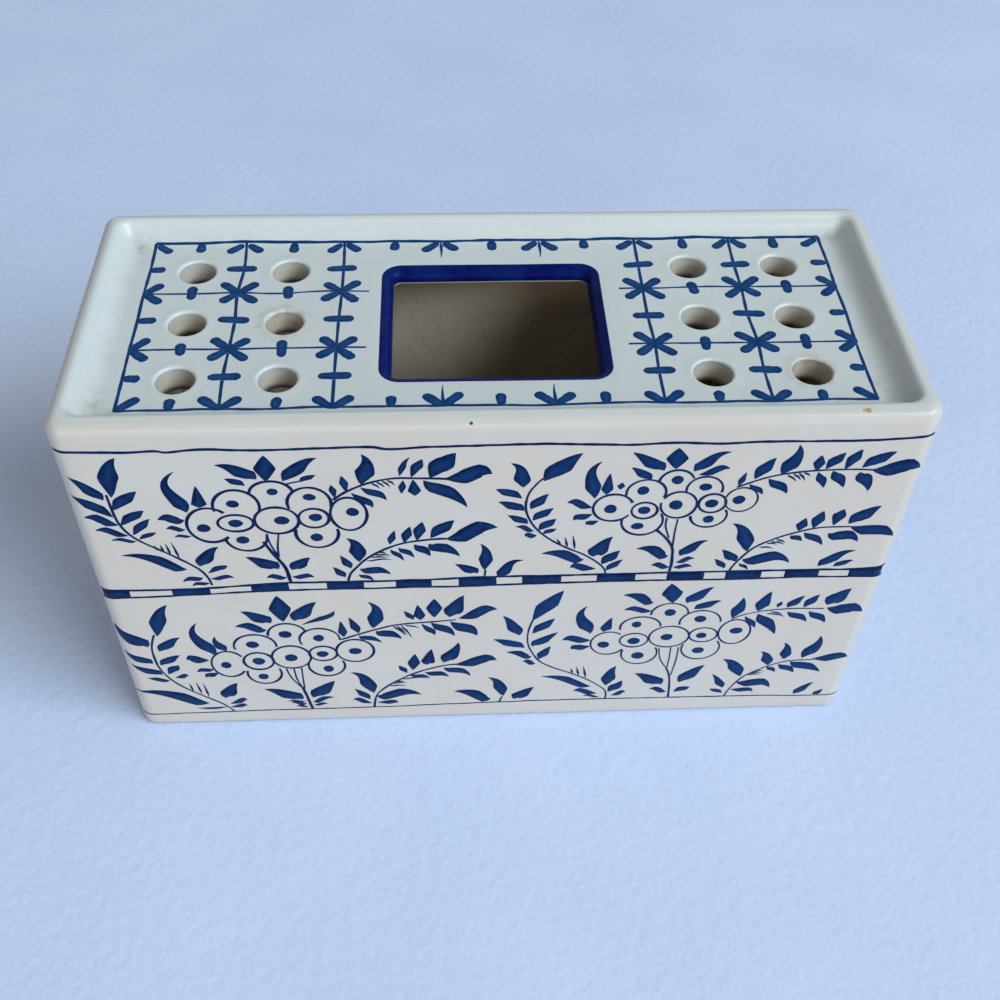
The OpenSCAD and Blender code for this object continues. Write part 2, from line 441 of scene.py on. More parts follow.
for vertex, point, normal in zip(coat.data.vertices, points, normals):
    vertex.co = (point + normal * swell(point)) * MM
    inside_x = HALF_X - abs(point.x) - rim_foot
    inside_y = HALF_Y - abs(point.y) - rim_foot
    inside = min(inside_x, inside_y)
    # Share of the painted top light: none on the walls, full from the crest's top inwards.
    painted_light_share.data[vertex.index].value = min(max((inside + rim_foot) / CREST_R, 0), 1)
    if point.z > DECK_Z and inside > CREST_R - rim_foot:
        # The hollow's mark of dust and painted shade, strongest at the corners.
        corner = math.exp(-math.hypot(inside_x, inside_y) / DUST_AND_SHADE_FADE)
        near = max(0, 1 - abs(inside + DUST_AND_SHADE_OUT) / DUST_AND_SHADE_WIDTH)
        hollow.data[vertex.index].value = near * (DUST_AND_SHADE_EVEN + DUST_AND_SHADE_CORNER * corner)
    elif inside > 0:
        bare = (BISCUIT_TOP - point.z) / BISCUIT_FADE
        bore.data[vertex.index].value = min(max(bare, 0), BISCUIT_MOST)
coat.data.shade_smooth()
shell = coat.modifiers.new("glaze_depth", "SOLIDIFY")
shell.thickness = COAT_DEPTH * MM
shell.offset = -1
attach(coat, "root")

# Painting on the walls: two friezes of berry clusters, ferns and leafy sprays, parted by a checkered
# band, brushed in cobalt on the raw glaze and sunk into it in the firing. Each stroke is a thin film
# with a soft edge, darkest where the brush left most colour.
BLEED = 0.07
FILM = 0.045
FILM_EDGE = 0.03
FILM_MIDDLE = 0.01
FILM_UNDER = 0.12
FILM_STEP = 0.0012
FILM_STEPS = 40
LINE_DEPTH = 0.85
LINE_WAVER = 0.35
LINE_RATE = 0.35
LINE_SWAY = 0.12
LEAF_STEPS = 13
LEAF_FULLNESS = 1.3
LEAF_BOW = 0.07
LEAF_STEEP = 0.45
LEAF_SKEW = 0.2
LEAF_POOL = 0.5
LEAF_LEAST = 0.04
BOW_PEAK = 6.75
EDGE_PEAKS = (0.15, 0.85)
EDGE_CURVE = 0.8
RING_STEP = 11
RING_WAVER = 0.4
RING_RATE = 0.3
DOT_STEPS = 14
DOT_MIDDLE = 0.55
DOT_DEPTH = 0.6
DOT_WAVER = 0.12
COBALT_DEEP = (0.0006, 0.010, 0.058, 1)
COBALT_THIN = (0.005, 0.040, 0.155, 1)
BLEED_TINT = (0.40, 0.48, 0.60, 1)


def wall_place(turn, half, shift=0, squeeze=1):
    """Returns the function that puts a point of the drawing on a wall, round its corners too."""
    spin = Matrix.Rotation(math.radians(turn), 4, "Z")
    depth = HALF_X + HALF_Y - half

    def place(across, up, lift):
        across = (across + shift) * squeeze
        past = (abs(across) - half + CORNER_R) / (CORNER_R + COAT)
        bend = math.asin(min(max(past, 0), 1))
        side = math.copysign(1, across)
        if bend:
            across = side * (half - CORNER_R + CORNER_R * math.sin(bend))
        outward = Vector((side * math.sin(bend), -math.cos(bend), 0))
        point = Vector((across, CORNER_R * (1 - math.cos(bend)) - depth, up)) + outward * COAT
        point = spin @ point
        return point + spin @ outward * (swell(point) + lift * (1 + 2 * bend))
    return place


def new_drawing(place):
    """An empty drawing, with the brush fully loaded."""
    return {"place": place, "strokes": 0, "load": 1,
            "points": [], "faces": [], "cover": [], "depth": []}


def add_points(drawing, rows):
    """Adds points given as (across, up, lift, cover, depth) and returns their numbers."""
    first = len(drawing["points"])
    for across, up, lift, cover, depth in rows:
        drawing["points"].append(drawing["place"](across, up, lift))
        drawing["cover"].append(cover)
        drawing["depth"].append(depth * drawing["load"])
    return range(first, len(drawing["points"]))


def next_film(drawing):
    """Each stroke lies a hair above the one before, so that crossing strokes stay apart."""
    drawing["strokes"] += 1
    return FILM + FILM_STEP * (drawing["strokes"] % FILM_STEPS)


def lay_strip(drawing, stations, closed=False):
    """A brush line through stations of (across, up, half width, depth of colour at the middle)."""
    film = next_film(drawing)
    count = len(stations)
    rings = []
    for number, (across, up, half, depth) in enumerate(stations):
        before = stations[number - 1 if number or closed else 0]
        after = stations[(number + 1) % count if closed or number + 1 < count else number]
        along = Vector((after[0] - before[0], after[1] - before[1])).normalized()
        left = Vector((-along.y, along.x))
        edge = half + BLEED
        section = [(-edge, film - FILM_EDGE, 0, 1), (-half, film, 1, 1), (0, film + FILM_MIDDLE, 1, depth),
                   (half, film, 1, 1), (edge, film - FILM_EDGE, 0, 1),
                   (edge, -FILM_UNDER, 0, 1), (-edge, -FILM_UNDER, 0, 1)]
        rows = []
        for reach, lift, cover, shade in section:
            rows.append((across + left.x * reach, up + left.y * reach, lift, cover, shade))
        rings.append(add_points(drawing, rows))
    pairs = list(zip(rings, rings[1:]))
    if closed:
        pairs.append((rings[-1], rings[0]))
    else:
        drawing["faces"] += [list(rings[0]), list(reversed(rings[-1]))]
    for one, two in pairs:
        drawing["faces"] += list(zip(one, two, [*two[1:], two[0]], [*one[1:], one[0]]))


def smooth_path(knots, pace):
    """Points along a curve through the knots, about one pace apart."""
    knots = [Vector(knot) for knot in knots]
    path = []
    for number in range(len(knots) - 1):
        start, end = knots[number], knots[number + 1]
        before = knots[max(number - 1, 0)]
        after = knots[min(number + 2, len(knots) - 1)]
        steps = max(2, round((end - start).length / pace))
        for step in range(steps):
            t = step / steps
            path.append(0.5 * (2 * start + (end - before) * t
                               + (2 * before - 5 * start + 4 * end - after) * t * t
                               + (3 * start - before - 3 * end + after) * t ** 3))
    return path + [knots[-1]]


def draw_line(drawing, knots, width, pace=1.3):
    stations = []
    for point in smooth_path(knots, pace):
        seed = Vector((point.x * LINE_RATE, point.y * LINE_RATE, width * 9))
        half = drawing["load"] * width / 2 * (1 + LINE_WAVER * noise.noise(seed))
        sway = LINE_SWAY * noise.noise(seed * 0.6)
        stations.append((point.x, point.y + sway, half, LINE_DEPTH))
    lay_strip(drawing, stations)


def edge_share(t, peak):
    """How far one edge of a dab has swung out, rising to its peak and falling to the tip."""
    peak = min(max(peak, EDGE_PEAKS[0]), EDGE_PEAKS[1])
    return min(t / peak, (1 - t) / (1 - peak)) ** EDGE_CURVE


def draw_leaf(drawing, x0, y0, x1, y1, width, widest=0.5, bow=0, depth=0.35):
    """One dab of the brush, with an edge pressed out on each side and a hooked, drawn-out tip."""
    base = Vector((x0, y0))
    tip = Vector((x1, y1))
    side = Vector((y0 - y1, x1 - x0)).normalized()
    bow = bow or LEAF_BOW * (x1 - x0)
    steep = 1 if y1 - y0 > LEAF_STEEP * abs(x1 - x0) else -1
    skew = LEAF_SKEW * steep * (x1 - x0) / (tip - base).length
    stations = []
    for step in range(LEAF_STEPS + 1):
        t = step / LEAF_STEPS
        left = LEAF_FULLNESS * width / 2 * edge_share(t, widest - skew)
        right = LEAF_FULLNESS * width / 2 * edge_share(t, widest + skew)
        aside = bow * BOW_PEAK * t * t * (1 - t) + (left - right) / 2
        point = base.lerp(tip, t) + side * aside
        half = max((left + right) / 2, LEAF_LEAST)
        stations.append((point.x, point.y, half, depth + LEAF_POOL * abs(t - widest)))
    lay_strip(drawing, stations)


def draw_ring(drawing, x, y, radius_x, radius_y, start=0, end=360, width=0.7):
    closed = end - start >= 360
    steps = round((end - start) / RING_STEP)
    stations = []
    for step in range(steps if closed else steps + 1):
        angle = math.radians(start + (end - start) * step / steps)
        point = Vector((x + radius_x * math.cos(angle), y + radius_y * math.sin(angle)))
        seed = Vector((point.x * RING_RATE, point.y * RING_RATE, radius_x))
        half = drawing["load"] * width / 2 * (1 + RING_WAVER * noise.noise(seed))
        stations.append((point.x, point.y, half, LINE_DEPTH))
    lay_strip(drawing, stations, closed)


def draw_dot(drawing, x, y, radius_x, radius_y):
    film = next_film(drawing)
    section = [(0, -FILM_UNDER, 0, 1), (0, film - FILM_EDGE, 0, 1), (-BLEED, film, 1, 1),
               (-DOT_MIDDLE, film + FILM_MIDDLE, 1, DOT_DEPTH)]
    rings = []
    for inward, lift, cover, depth in section:
        rows = []
        for step in range(DOT_STEPS):
            angle = math.tau * step / DOT_STEPS
            seed = Vector((x + math.cos(angle), y + math.sin(angle), 3))
            waver = 1 + DOT_WAVER * noise.noise(seed)
            reach_x = (radius_x * waver + BLEED + inward) * math.cos(angle)
            reach_y = (radius_y * waver + BLEED + inward) * math.sin(angle)
            rows.append((x + reach_x, y + reach_y, lift, cover, depth))
        rings.append(add_points(drawing, rows))
    for one, two in zip(rings, rings[1:]):
        drawing["faces"] += faces_between(one, two)
    drawing["faces"] += [list(rings[-1]), list(reversed(rings[0]))]


def draw_frieze(drawing, leaves, stems, hairs, rings, dots):
    for width, *knots in stems:
        draw_line(drawing, knots, width)
    for leaf in leaves:
        draw_leaf(drawing, *leaf)
    for hair in hairs:
        draw_leaf(drawing, *hair, width=0.5, widest=0.35, depth=0.8)
    for ring in rings:
        draw_ring(drawing, *ring)
    for dot in dots:
        draw_dot(drawing, *dot)


def finish_drawing(name, drawing, paint):
    piece = new_piece(name, drawing["points"], drawing["faces"], paint)
    for attribute in ("cover", "depth"):
        values = piece.data.attributes.new(attribute, "FLOAT", "POINT")
        values.data.foreach_set("value", drawing[attribute])
    shape = bmesh.new()
    shape.from_mesh(piece.data)
    bmesh.ops.recalc_face_normals(shape, faces=shape.faces)
    shape.to_mesh(piece.data)
    shape.free()
    piece.data.shade_smooth()
    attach(piece, "root")


def brushed_paint(name, thin, deep):
    """Colour in the glaze: pale at the bleeding edge, deep where the brush pooled, thin between."""
    paint, tree, shader = new_finish(name, roughness=0.3, specular=0.06)
    grain = add_cloud(tree, scale=420, detail=5, roughness=0.65)
    streak = add_math(tree, "MULTIPLY", add_mark(tree, "depth"), grain)
    colour = add_ramp(tree, streak, (0.12, thin), (0.46, deep))
    colour = add_mix(tree, add_mark(tree, "cover"), BLEED_TINT, colour)
    tree.links.new(colour, shader.inputs["Base Color"])
    return paint


cobalt = brushed_paint("brushed_cobalt", COBALT_THIN, COBALT_DEEP)

# The upper frieze's left half: a fern, a berry cluster, two sprays and a sprout, brushed in cobalt. A
# leaf is given as base, tip, width, where it is widest and how far it bows; a hair as base and tip; a
# ring and a dot as centre and radii, an open ring's ends as angles; a stem as its width and its places.
upper_left = {"stems": [
    (.6, (-71.2, 61.8), (-71.6, 64.5), (-73, 67.5), (-75.2, 70), (-78.5, 73), (-82, 76), (-86, 79.3),
     (-88.3, 82.5), (-89.6, 86.5), (-90, 91), (-90.2, 95)),
    (.45, (-55.4, 80.5), (-55, 77), (-53.5, 72)), (.45, (-52.6, 80.3), (-53.3, 76), (-53.5, 72)),
    (.85, (-56.5, 77.8), (-55, 74), (-53.4, 70.5), (-52.2, 67.5), (-51.6, 62.3)),
    (.45, (-49.5, 97.3), (-47.5, 98), (-45, 98.6)),
    (.6, (-38.7, 92), (-36, 94.3), (-32.5, 96.4), (-28.5, 98), (-24, 98.9), (-17, 98.7), (-11, 98.3)),
    (.6, (-37.3, 62.2), (-36.6, 65), (-34.5, 68), (-32, 70.9), (-27.5, 74.2), (-22, 76.5), (-16, 77.5),
     (-12, 77.6)),
    (.5, (-3, 65.6), (-3.1, 64.3), (-3.2, 63)),
], "leaves": [
    (-89.2, 94.2, -85.8, 106.9, 3.8, .5, 1.3), (-91.2, 93.3, -97.5, 100.8, 2.6, .3),
    (-90.2, 87.5, -98.3, 94.5, 2.6, .45), (-89.5, 84.8, -96.8, 87.5, 2.4), (-88, 81, -95.2, 83, 2),
    (-86.6, 78.9, -92.2, 79.3, 1.2, .4), (-89.8, 89.8, -83.2, 96, 2.8),
    (-89, 84.6, -82.8, 89.5, 2.4, .55), (-86.7, 81.2, -82, 86.6, 2), (-85.6, 79.6, -81.2, 81.8, 1.3),
    (-76.3, 68.2, -91, 73.7, 2.9, .25, -1.2), (-73, 69.2, -67.5, 76.2, 3.2, .3, .8),
    (-71.3, 66.6, -66.3, 69.2, 1.6, .6), (-71, 64.4, -65.3, 64.6, 1.4), (-73, 64.9, -78, 63.5, 1.6, .4),
    (-71.6, 62.8, -76, 61.8, 1.2), (-53.4, 98.6, -53, 106.9, 4), (-55.5, 99.3, -64.2, 104, 3.2, .3, -1),
    (-49.6, 98.6, -41.3, 105.8, 3.2, .35, 1), (-58.4, 97.3, -62.7, 99.6, 1.8, .45),
    (-46, 98.2, -42, 100.3, 1.4), (-73, 88.6, -73.7, 102.2, 3, .2, 3),
    (-69.7, 90.2, -69.6, 97.4, 2.8, .15), (-74, 86, -80.1, 86.2, 2.6, .45), (-74.3, 82.6, -78.7, 83, 1.5),
    (-73.3, 80.3, -77.2, 80, 1), (-54, 67.5, -61.5, 72.2, 3.3, .3, -.4), (-50.8, 67, -46, 71.5, 3, .35),
    (-52.4, 64.2, -57.3, 64.2, 1.7), (-51, 64.4, -45.6, 64, 1.6), (-38.2, 92.6, -38.8, 97, 1.4, .6),
    (-35.4, 94.6, -36.2, 100, 1.6, .55), (-31.8, 97, -31.2, 106.8, 3.6, .4, -1.2),
    (-23, 99.7, -20.4, 105.5, 1.3, .4, .5), (-20.3, 99.2, -17.6, 104.9, 2.1, .6),
    (-16, 98.9, -10, 106.7, 4.3), (-12.5, 98.5, -1.7, 99.8, 4.4, .6), (-34.3, 94.2, -29.6, 89.2, 2, .6),
    (-32, 96, -26.3, 91.7, 2), (-22.2, 98.1, -22.7, 93.8, 1.4), (-19.9, 98.3, -19.6, 93, 2.4, .7),
    (-17.5, 98, -7.5, 88.8, 3.4, .35), (-34, 69.6, -36.6, 78.3, 3.4, .4, -1.4),
    (-26.3, 75.9, -24.9, 80.9, 1.5, .4), (-22.8, 76.4, -21.2, 82.2, 2),
    (-19.7, 77.2, -18.2, 83.8, 2.4, .55), (-16.3, 78, -10.6, 84.2, 3), (-12.7, 77.5, -.2, 81.3, 4.4),
    (-26.2, 73.9, -23.2, 69.8, 1.3, .4), (-24.2, 74.5, -20.6, 70.9, 1.6, .4),
    (-20.3, 75.7, -16.6, 71.3, 2.2, .4), (-16.8, 75.8, -9.4, 71.1, 3, .3),
    (-36.3, 67.2, -38.6, 72, 1.9, .35), (-38, 63.8, -40.7, 67.7, 1.8, .35),
    (-34.1, 66.9, -26.6, 64.7, 2.4, .4), (-34.5, 64.7, -31, 62.3, 1.3, .4),
    (-3.2, 65.6, -4.2, 75.4, 2.8, .4, -1), (-5, 64.4, -10.5, 67.9, 2.6, .3),
    (.4, 62.6, 6.4, 69, 2.7, .2, 1.6),
], "hairs": [
    (-82.2, 75.4, -82.6, 77.2), (-80.8, 74.8, -81.2, 77.4), (-79.3, 73.6, -79.9, 77.8),
    (-77.4, 72.1, -78.5, 78.3), (-29.5, 97.5, -27.7, 95.6), (-28.3, 97.9, -26.6, 95.9),
    (-27, 98.2, -25.3, 96), (-25.8, 98.4, -24.2, 96.6), (-29.3, 73.2, -27.3, 72.4),
    (-30.3, 72.2, -26.3, 71.5), (-31.2, 71.3, -27, 70.8), (-32.3, 69.9, -26, 70),
], "rings": [
    (-52.7, 94.6, 5, 4, 5, 175), (-61.3, 90.3, 5.4, 5.6, -20, 195), (-44.3, 91, 5.1, 5.3, -15, 200),
    (-68.3, 84, 5.4, 6, 45, 315), (-62.2, 84.6, 4.2, 2.9), (-52.5, 85.2, 5.2, 4.6),
    (-43.7, 85.8, 3.6, 3.3), (-35.4, 87, 4.3, 5.7), (-60.4, 79.6, 5, 5, 185, 365),
    (-43.4, 80.5, 5.1, 5.2, 165, 375),
], "dots": [
    (-52.4, 95.1, 1.25, 1.1), (-62, 91.3, 1.5, 1.2), (-44.1, 93.1, 1.5, 1.1), (-69.9, 83.1, 1.6, 1.4),
    (-62.2, 84.6, 1.7, 1.3), (-51.3, 85.2, 1.8, 1.4), (-43.3, 86.1, 1.6, 1.3), (-34.5, 87.7, 1.5, 1.4),
    (-61.3, 78.6, 1.6, 1.3), (-43.6, 79, 1.5, 1.4),
]}

# The upper frieze's right half: the same plants in the same cobalt, but brushed afresh by hand, so
# that no leaf lies quite as it does on the left.
upper_right = {"stems": [
    (.6, (27.3, 62.8), (26.8, 65), (25, 67.5), (21.5, 70.5), (17.5, 73), (13.5, 75.8), (10.3, 79),
     (8, 82.5), (6.6, 86.5), (6.4, 90), (7.2, 93.5), (9, 96.5), (10.2, 97.9)),
    (.45, (40.5, 83.5), (40.5, 80.5), (41.8, 76.3)), (.45, (43.2, 83), (43, 78), (43.1, 73)),
    (.8, (38.5, 79.2), (41.3, 76), (43, 72.8), (43.4, 70), (43.6, 66), (43.3, 62.8)),
    (.6, (55.8, 93.8), (59.5, 95.5), (64, 97.2), (69, 98.3), (75, 98.9), (82, 99), (88, 98.6)),
    (.6, (58.2, 61.5), (59.3, 65), (61, 68.3), (63.5, 71.8), (67, 74.4), (72, 76.8), (77, 78.5),
     (81, 79), (87, 78.9)),
], "leaves": [
    (10.3, 97, 18.8, 105.8, 4, .4, .5), (5.6, 95, 2.6, 103, 3.2, .3, -1.4), (5.4, 91.3, -.8, 94.5, 2.2),
    (6.1, 87, -.1, 90.2, 2.4, .4), (7, 82.3, 2.2, 85.4, 2, .4), (8.6, 79.7, 4.2, 81.3, 1.5, .45),
    (9.3, 78.2, 6.5, 77.8, 1.7, .6), (7.6, 87.5, 11.6, 92.6, 2.4, .4), (8.2, 83.5, 13, 87.6, 2.2, .45),
    (9.7, 79.9, 13.8, 83.8, 2.2), (10.7, 78.5, 14.1, 80.3, 1.3), (21.4, 68.8, 10.8, 71.3, 3, .3, -.7),
    (23.6, 69.8, 28, 77, 3.8, .25, .5), (26, 66.8, 30.2, 71.8, 2.6, .45),
    (27.3, 64.4, 31.2, 68.4, 1.8, .4), (24.6, 65.2, 18.2, 65.8, 2.3, .65),
    (40.6, 100.2, 40.6, 106.9, 4.1), (38, 99.7, 30.3, 105.7, 3, .3, -.3),
    (45, 99.3, 52.8, 105.4, 2.7, .25, 1.2), (35.3, 96.7, 30.4, 100.8, 2.2, .35),
    (46.3, 98.2, 53.3, 100.1, 2, .55), (22.5, 90.8, 23.4, 103, 3, .3, 1.9),
    (25.2, 92, 25.6, 99, 2.2, .25), (28.3, 93.6, 28.7, 95.9, 1.4), (22.2, 87.7, 16.2, 89.5, 2.2, .55),
    (22.3, 85.4, 18, 83.3, 2, .6), (24, 83, 21.2, 81.6, 1.5, .7), (42.4, 69.5, 34.3, 72.3, 3, .3, -.8),
    (45.3, 69.5, 51.6, 75.1, 2.6, .3, .9), (44.7, 67, 49.1, 68.4, 1.5), (44.2, 65.2, 48.9, 65.2, 1.4),
    (43.2, 65.2, 38.6, 65.9, 1.8), (56.2, 94.2, 57.4, 98.6, 1.3, .4), (59.6, 96.4, 63.5, 103.2, 2.8, .45),
    (65.8, 97.6, 68.2, 107.2, 3.2, .35, -1), (73.7, 98.7, 74, 103.8, 2.2), (75.8, 99.3, 79.4, 104.5, 2.4),
    (80.3, 99.1, 83.1, 105.5, 2.4, .55), (84.3, 99.5, 91.3, 104.5, 2.9, .45),
    (86.8, 98.7, 98.3, 98.7, 4.2, .55), (58.7, 94.6, 62.3, 91.1, 1.5), (63, 96.3, 68.1, 91.2, 2.3, .45),
    (74.3, 98.2, 76.5, 93, 1.9, .45), (77.7, 98.6, 81.2, 93, 2.4, .4), (84.2, 98, 87.4, 91.6, 3, .3, .5),
    (62, 70.6, 56.9, 81, 3.5, .4, -1.6), (73.6, 77.8, 74.6, 82.4, 2.3, .45), (77, 78.7, 78.5, 84.8, 2.6),
    (81.8, 79.6, 83.3, 85.3, 2.7, .6), (85.5, 80, 92.2, 86.2, 3.4, .4), (86.2, 79, 97.8, 75, 3.4, .5, .8),
    (72, 76.2, 75, 74, 1.6, .4), (75.2, 77.2, 80.5, 72.4, 2, .4), (81.2, 76.6, 89.2, 73.4, 3.2, .4, .9),
    (59.7, 66.8, 55.7, 71.4, 2.4, .35), (57.3, 64.3, 54.4, 67.9, 1.6, .4),
    (61.3, 67.5, 73.5, 65.9, 3.6, .4, 1.6), (60.8, 66, 63.3, 63.5, 1, .4),
    (81.2, 64.2, 89.6, 69.9, 2.7, .3, 1.2), (85.2, 63.9, 89.9, 66.2, 1.7, .4, .4),
], "hairs": [
    (15.3, 74.4, 14.3, 76.7), (17, 73.6, 16.3, 77.2), (18.9, 72.8, 18.2, 77.8), (67.2, 97.6, 69.5, 95.3),
    (68.6, 97.9, 70.5, 95.8), (69.8, 98.2, 71.6, 95.5), (71, 98.3, 72.5, 97), (68.7, 75, 71, 73.5),
    (67.5, 74.2, 70.8, 72.9), (66.5, 73.6, 69, 72.9), (64.9, 72.2, 68.3, 71.4),
], "rings": [
    (41.4, 95.5, 4.2, 4.3, 20, 170), (34.6, 92.3, 4.7, 4.4, -20, 190), (48.3, 93.2, 4.3, 4.3, -15, 195),
    (27.2, 87.4, 4.8, 4.6, 20, 325), (34.8, 86.2, 3.1, 2.8), (42.8, 88, 4.3, 4.5, -190, 150),
    (50.8, 88.4, 3.3, 3.2), (57.6, 89.4, 3.9, 4.1, 0, 360, 0.5), (34.6, 82.4, 5, 4.9, 165, 390),
    (50.5, 84, 4.4, 4, 180, 390),
], "dots": [
    (41.5, 96.5, 1.4, 1.4), (33.8, 93.1, 1.4, 1.4), (48.4, 94, 1.5, 1.2), (26.6, 87, 1.5, 1.5),
    (34.7, 86.3, 1.5, 1.3), (42.1, 88, 1.6, 1.6), (50.6, 88.3, 1.6, 1.4), (57, 89.4, 1.5, 1.5),
    (33.6, 80.7, 1.6, 1.1), (50.6, 82.8, 1.3, 1.3),
]}

# The lower frieze's left half: the same plants in cobalt again, brushed under the checkered band and
# standing on the foot line.
lower_left = {"stems": [
    (.6, (-73.5, 5.9), (-74.7, 8), (-77, 10.5), (-80.5, 13.5), (-84, 16.5), (-87, 19.8), (-89, 23),
     (-90.5, 27), (-91, 31), (-91, 35.5), (-90.3, 39), (-89.3, 42)),
    (.45, (-56.7, 25.8), (-55.8, 21.5), (-53, 16)), (.45, (-54.7, 25.5), (-54.3, 20.5), (-53, 16)),
    (.45, (-52.6, 26), (-52.7, 20), (-52.7, 16)),
    (.85, (-53.3, 17), (-52.5, 13), (-51.9, 9), (-51.3, 5.8)),
    (.6, (-41, 38.2), (-38, 39.5), (-34.5, 41), (-30.5, 42.6), (-26, 44), (-21, 44.6), (-15.5, 45),
     (-10.5, 45.6)),
    (.6, (-34, 6.2), (-33.6, 9.5), (-32.8, 12.5), (-30.5, 15.5), (-27, 18.7), (-22, 22), (-17, 24.3),
     (-12.5, 25.5), (-9, 25.6)),
    (.5, (1.4, 7), (1.7, 8.3), (2.2, 9.6)),
], "leaves": [
    (-88.6, 41.4, -83.8, 54.3, 3.5, .45, 1.2), (-91.8, 36.8, -98.5, 46.6, 3.6, .25, 1),
    (-92, 29.3, -98.2, 35, 2.4, .3, .5), (-90.3, 24.2, -97.6, 29.2, 2.3, .3, .4),
    (-88.8, 21.4, -94.5, 22.9, 1.6, .4, .3), (-89.2, 34.8, -82.9, 40.6, 2.8, .35, .6),
    (-90, 28.6, -84.2, 32.8, 2.4, .4, .4), (-88.6, 24.4, -85.3, 28.3, 2.3, .6),
    (-87, 22.8, -83.5, 23.3, 1.6, .7), (-79.8, 10.2, -99, 16.2, 3.4, .2, -1.4),
    (-75, 12.6, -70.8, 19.5, 3.6, .3, .5), (-74, 9.7, -69.1, 11.4, 1.8, .7),
    (-74.2, 8, -69.5, 8.6, 1.4, .8), (-75, 8.2, -83.3, 8, .9, .5, .5), (-55.3, 46.5, -55.9, 57, 4.5),
    (-58.6, 46, -65.6, 51, 3.4, .3, -.5), (-52.4, 46.7, -46.1, 54.2, 3.8, .3, .6),
    (-50.5, 45, -41.8, 50.4, 1.5, .7, -.8), (-60, 43.2, -67.8, 44.8, 2.8, .4),
    (-74.7, 32.3, -77.7, 46.6, 3.1, .3, 2.5), (-71.8, 34.2, -73.8, 40.6, 2.2, .3, .8),
    (-76.8, 30.4, -82.6, 30.6, 2.9, .7), (-76.2, 26.3, -80.8, 25, 1.6),
    (-75.3, 24.6, -78.8, 22.5, 1.8, .6), (-53.6, 11, -63.8, 16.2, 3.6, .3, -.7),
    (-50.8, 11.7, -44.2, 19.4, 3.8, .35, .2), (-53, 10, -57.9, 10, .8), (-52.8, 8.7, -57, 9.3, 1.6),
    (-52.6, 7.3, -55.8, 7.6, .9), (-51, 9.6, -45, 11.6, 1.7, .35), (-50.9, 8, -47, 8.4, 1.1),
    (-40.2, 39.4, -40.6, 46, 1.9, .3), (-36.2, 40.8, -38.3, 47.5, 2, .35),
    (-32.2, 42.8, -33, 53.7, 3.4, .35, -1.8), (-21.6, 46, -24, 49.6, 1.5, .4),
    (-19.8, 45.8, -20.4, 52, 2.4, .3), (-16.2, 46.8, -16, 54.4, 3.3), (-12.2, 46.8, -8.5, 55.6, 4, .3),
    (-9.8, 46.2, .2, 49.6, 3.4, .55), (-36.2, 39.6, -30.4, 36.5, 1.8, .35),
    (-31.6, 41.5, -25, 37.9, 2.6, .35), (-19.5, 44.1, -16.2, 39.2, 1.7, .6),
    (-17, 44.5, -11, 38.6, 2.5, .45), (-12, 44.8, -5, 38.5, 3.3),
    (-33.7, 13.3, -39.5, 23.2, 3.4, .35, -1.7), (-24.2, 22.2, -26.3, 25.8, 1.5),
    (-22.5, 23.6, -21.7, 30.8, 2.7, .45), (-18.6, 25.8, -17.2, 32.8, 3, .2),
    (-14, 26.6, -10, 35.5, 3.4, .3, -.5), (-11, 25.6, .4, 27.2, 3.6, .6),
    (-23.3, 21.2, -18, 19.5, 1.4, .4), (-19.2, 22.3, -12.8, 20, 2, .45),
    (-14.1, 24.2, -6.8, 20.1, 2.2, .4, .8), (-35, 10.2, -39, 15.3, 2, .4),
    (-34.6, 8.3, -39.7, 10.2, 1.8, .6), (-33, 11.7, -20.6, 11.7, 3.4, .35, 1.2),
    (-33, 8.6, -27.3, 8, 1.7, .75), (-1, 8.6, -11.3, 12.8, 3.4, .3, -.6),
    (2.5, 10, -1.8, 19, 3, .4, -1.4), (5.5, 8.3, 11, 13.8, 3.2, .3, .3),
], "hairs": [
    (-83.3, 16, -83.9, 19.8), (-81.2, 14.8, -82, 20.3), (-79.4, 13.2, -80.2, 19.8),
    (-27.2, 43.7, -24, 39.3), (-26.2, 43.9, -23.7, 39.5), (-25, 44, -22.4, 38.3),
    (-24, 43.8, -20.2, 42.2), (-27.5, 18.4, -25, 18), (-28.5, 17.6, -24.6, 17.3),
    (-29.5, 16.5, -24.7, 15.9), (-26, 19.5, -18.5, 19.3),
], "rings": [
    (-54.9, 41, 5, 4.6, 10, 185), (-63.8, 36.2, 5.6, 5, -5, 195), (-46.6, 38.5, 5.3, 4.7, -5, 205),
    (-71.8, 28.4, 4.6, 5.7, 35, 325), (-63.7, 29.5, 4, 3.8, 0, 360, 0.8), (-54.8, 31, 5.2, 5),
    (-46.2, 32.3, 3.7, 3.2), (-37.6, 33.2, 5, 4.9), (-62.8, 23.9, 4.6, 4.8, 165, 385),
    (-45.7, 26.8, 4.9, 4.8, 160, 385),
], "dots": [
    (-55.4, 41, 1.7, 1.5), (-64.4, 36.9, 1.7, 1.4), (-46.8, 39.1, 1.4, 1.4), (-72.6, 28, 1.4, 1.4),
    (-63.7, 29.5, 1.7, 1.5), (-54.9, 30.7, 1.7, 1.6), (-46.4, 32.1, 1.6, 1.3), (-37.6, 33, 1.7, 1.4),
    (-63.3, 22.4, 1.4, 1.3), (-45.3, 25.3, 1.4, 1.5),
]}

